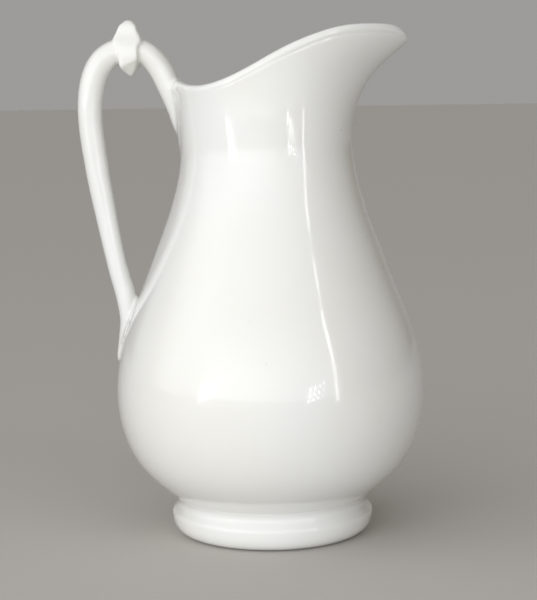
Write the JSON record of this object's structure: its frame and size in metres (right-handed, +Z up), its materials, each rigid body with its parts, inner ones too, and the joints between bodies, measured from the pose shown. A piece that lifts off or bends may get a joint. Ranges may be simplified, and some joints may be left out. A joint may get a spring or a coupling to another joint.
{
  "type": "water jug",
  "caption": "Tall glazed white earthenware water jug: pear-shaped body on a turned foot, flared neck with a drooping spout and rolled lip, and a loop handle topped by a square knop.",
  "frame": {"origin": "centre of the foot ring's underside, on the vertical axis of the body", "axes": "+Z up along the body's axis; +X from the handle towards the spout; the mould seam lies in the XZ plane"},
  "size_m": [0.2035, 0.1838, 0.305],
  "materials": {
    "white_glaze": "glossy",
    "handle_glaze": "glossy",
    "lip_glaze": "glossy",
    "foot_glaze": "glossy",
    "bat_glaze": "glossy"
  },
  "bodies": {
    "root": {"body_left_half": "white_glaze", "body_right_half": "white_glaze", "base_disc": "bat_glaze", "foot_ring": "foot_glaze", "rim_roll": "lip_glaze", "handle_strap": "handle_glaze", "handle_knop": "handle_glaze", "handle_upper_root": "handle_glaze", "handle_lower_root": "handle_glaze"}
  },
  "joints": []
}
